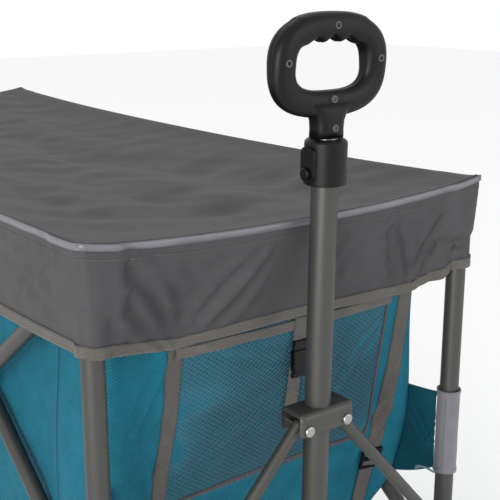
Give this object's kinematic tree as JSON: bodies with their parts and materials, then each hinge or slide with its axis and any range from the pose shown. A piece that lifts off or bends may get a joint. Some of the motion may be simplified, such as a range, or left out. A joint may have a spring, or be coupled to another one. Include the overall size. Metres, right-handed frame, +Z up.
{
  "type": "folding beach cart",
  "caption": "Folding beach cart: fabric basket and cover on a scissor-folding tube frame, swivelling front wheels and a telescoping pull handle.",
  "frame": {"origin": "on the ground, under the middle of the whole cart's outline at rest, casters trailing", "axes": "+X forward to the pull handle, +Y to the left side, +Z up"},
  "size_m": [1.1977, 0.563, 0.766],
  "materials": {
    "powder_coated_steel": "satin metallic grey powder coat",
    "bright_steel": "zinc plated",
    "black_plastic": "fine moulded texture",
    "teal_fabric": "coated woven polyester",
    "grey_cuff_webbing": "woven webbing",
    "taupe_webbing": "woven webbing",
    "mesh_fabric": "open knitted mesh",
    "grey_cover_fabric": "coated nylon",
    "tyre_rubber": "matt rubber",
    "hub_plastic": "moulded"
  },
  "bodies": {
    "rear_frame": {"rear_legs": "powder_coated_steel", "rear_axle": "bright_steel", "rear_axle_caps_and_spacers": "black_plastic", "rear_cross_tube": "powder_coated_steel", "rear_lower_brackets": "black_plastic"},
    "rear_rising_arms": {"rear_rising_arm_left": "powder_coated_steel", "rear_rising_arm_right": "powder_coated_steel", "rear_arm_pins": "bright_steel"},
    "rear_falling_arms": {"rear_falling_arm_left": "powder_coated_steel", "rear_falling_arm_right": "powder_coated_steel", "lower_middle_pins": "bright_steel", "middle_cross_tube": "powder_coated_steel"},
    "rear_upper": {"rear_sleeves": "powder_coated_steel", "rear_post_caps": "black_plastic", "rear_cuffs": "grey_cuff_webbing", "rear_upper_brackets": "black_plastic", "rear_panel": "teal_fabric", "side_panel_left": "teal_fabric", "side_panel_right": "teal_fabric", "basket_floor": "teal_fabric"},
    "front_falling_arms": {"front_falling_arm_left": "powder_coated_steel", "front_falling_arm_right": "powder_coated_steel", "front_arm_pins": "bright_steel"},
    "front_rising_arms": {"front_rising_arm_left": "powder_coated_steel", "front_rising_arm_right": "powder_coated_steel"},
    "front_frame": {"front_legs": "powder_coated_steel", "front_cross_tube": "powder_coated_steel", "front_lower_brackets": "black_plastic", "handle_hinge_bolts": "bright_steel"},
    "front_upper": {"front_sleeves": "powder_coated_steel", "front_post_caps": "black_plastic", "front_cuffs": "grey_cuff_webbing", "front_upper_brackets": "black_plastic", "front_panel": "teal_fabric", "front_straps": "taupe_webbing", "mesh_pocket": "mesh_fabric", "pocket_strap": "taupe_webbing", "strap_buckles": "black_plastic"},
    "cover": {"cover": "grey_cover_fabric"},
    "handle": {"handle_stay_left": "powder_coated_steel", "handle_stay_right": "powder_coated_steel", "bracket_rivets": "bright_steel", "stay_bracket": "powder_coated_steel", "pole_tube": "powder_coated_steel", "pole_collar": "black_plastic"},
    "pull": {"pull_tube": "bright_steel", "grip_front_half": "black_plastic", "grip_rear_half": "black_plastic", "grip_screws": "bright_steel"},
    "release_button": {"release_button": "black_plastic"},
    "caster_left": {"caster_fork_left": "powder_coated_steel"},
    "caster_right": {"caster_fork_right": "powder_coated_steel"},
    "front_wheel_left": {"front_left_hub": "hub_plastic", "front_left_tyre": "tyre_rubber"},
    "front_wheel_right": {"front_right_hub": "hub_plastic", "front_right_tyre": "tyre_rubber"},
    "rear_wheel_left": {"rear_left_hub": "hub_plastic", "rear_left_tyre": "tyre_rubber"},
    "rear_wheel_right": {"rear_right_hub": "hub_plastic", "rear_right_tyre": "tyre_rubber"}
  },
  "joints": [
    {"name": "fold", "type": "hinge", "parent": "rear_frame", "child": "rear_rising_arms", "pos_m": [-0.48286, 0, 0.205], "axis": [0, -1, 0], "range_deg": [0, 43.61], "deforming": ["side_panel_left", "side_panel_right", "basket_floor", "cover"]},
    {"name": "rear_crossing", "type": "hinge", "parent": "rear_rising_arms", "child": "rear_falling_arms", "pos_m": [-0.23161, 0, 0.3835], "axis": [0, -1, 0], "range_deg": [-87.72, 0.5]},
    {"name": "rear_upper_pivot", "type": "hinge", "parent": "rear_falling_arms", "child": "rear_upper", "pos_m": [-0.48286, 0, 0.562], "axis": [0, -1, 0], "range_deg": [-0.5, 44.11]},
    {"name": "middle_upper_pivot", "type": "hinge", "parent": "rear_rising_arms", "child": "front_falling_arms", "pos_m": [0.01964, 0, 0.562], "axis": [0, -1, 0], "range_deg": [-87.72, 0.5]},
    {"name": "front_lower_pivot", "type": "hinge", "parent": "front_falling_arms", "child": "front_frame", "pos_m": [0.52214, 0, 0.205], "axis": [0, -1, 0], "range_deg": [-0.5, 44.11]},
    {"name": "front_crossing", "type": "hinge", "parent": "front_falling_arms", "child": "front_rising_arms", "pos_m": [0.27089, 0, 0.3835], "axis": [0, -1, 0], "range_deg": [-0.5, 87.72]},
    {"name": "front_upper_pivot", "type": "hinge", "parent": "front_rising_arms", "child": "front_upper", "pos_m": [0.52214, 0, 0.562], "axis": [0, -1, 0], "range_deg": [-44.11, 0.5]},
    {"name": "cover_lift", "type": "slide", "parent": "rear_upper", "child": "cover", "axis": [0, 0, 1], "range_m": [0, 0.12]},
    {"name": "handle_hinge", "type": "hinge", "parent": "front_frame", "child": "handle", "pos_m": [0.57164, 0, 0.205], "axis": [0, 1, 0], "range_deg": [0, 90]},
    {"name": "handle_telescope", "type": "slide", "parent": "handle", "child": "pull", "axis": [0.0192, 0, 0.9998], "range_m": [0, 0.3]},
    {"name": "release_button_press", "type": "slide", "parent": "handle", "child": "release_button", "axis": [0, 1, 0], "range_m": [0, 0.003], "stiffness_N_per_m": 800},
    {"name": "caster_swivel_left", "type": "hinge", "parent": "front_frame", "child": "caster_left", "pos_m": [0.54814, 0.2115, 0.19], "axis": [0, 0, 1], "continuous": true},
    {"name": "front_wheel_spin_left", "type": "hinge", "parent": "caster_left", "child": "front_wheel_left", "pos_m": [0.51314, 0.2115, 0.08], "axis": [0, 1, 0], "continuous": true},
    {"name": "rear_wheel_spin_left", "type": "hinge", "parent": "rear_frame", "child": "rear_wheel_left", "pos_m": [-0.50886, 0.25, 0.09], "axis": [0, 1, 0], "continuous": true},
    {"name": "caster_swivel_right", "type": "hinge", "parent": "front_frame", "child": "caster_right", "pos_m": [0.54814, -0.2115, 0.19], "axis": [0, 0, 1], "continuous": true},
    {"name": "front_wheel_spin_right", "type": "hinge", "parent": "caster_right", "child": "front_wheel_right", "pos_m": [0.51314, -0.2115, 0.08], "axis": [0, 1, 0], "continuous": true},
    {"name": "rear_wheel_spin_right", "type": "hinge", "parent": "rear_frame", "child": "rear_wheel_right", "pos_m": [-0.50886, -0.25, 0.09], "axis": [0, 1, 0], "continuous": true}
  ],
  "couplings": [
    {"joint": "rear_crossing", "follows": "fold", "ratio": -2},
    {"joint": "rear_upper_pivot", "follows": "fold", "ratio": 1},
    {"joint": "middle_upper_pivot", "follows": "fold", "ratio": -2},
    {"joint": "front_lower_pivot", "follows": "fold", "ratio": 1},
    {"joint": "front_crossing", "follows": "fold", "ratio": 2},
    {"joint": "front_upper_pivot", "follows": "fold", "ratio": -1}
  ]
}
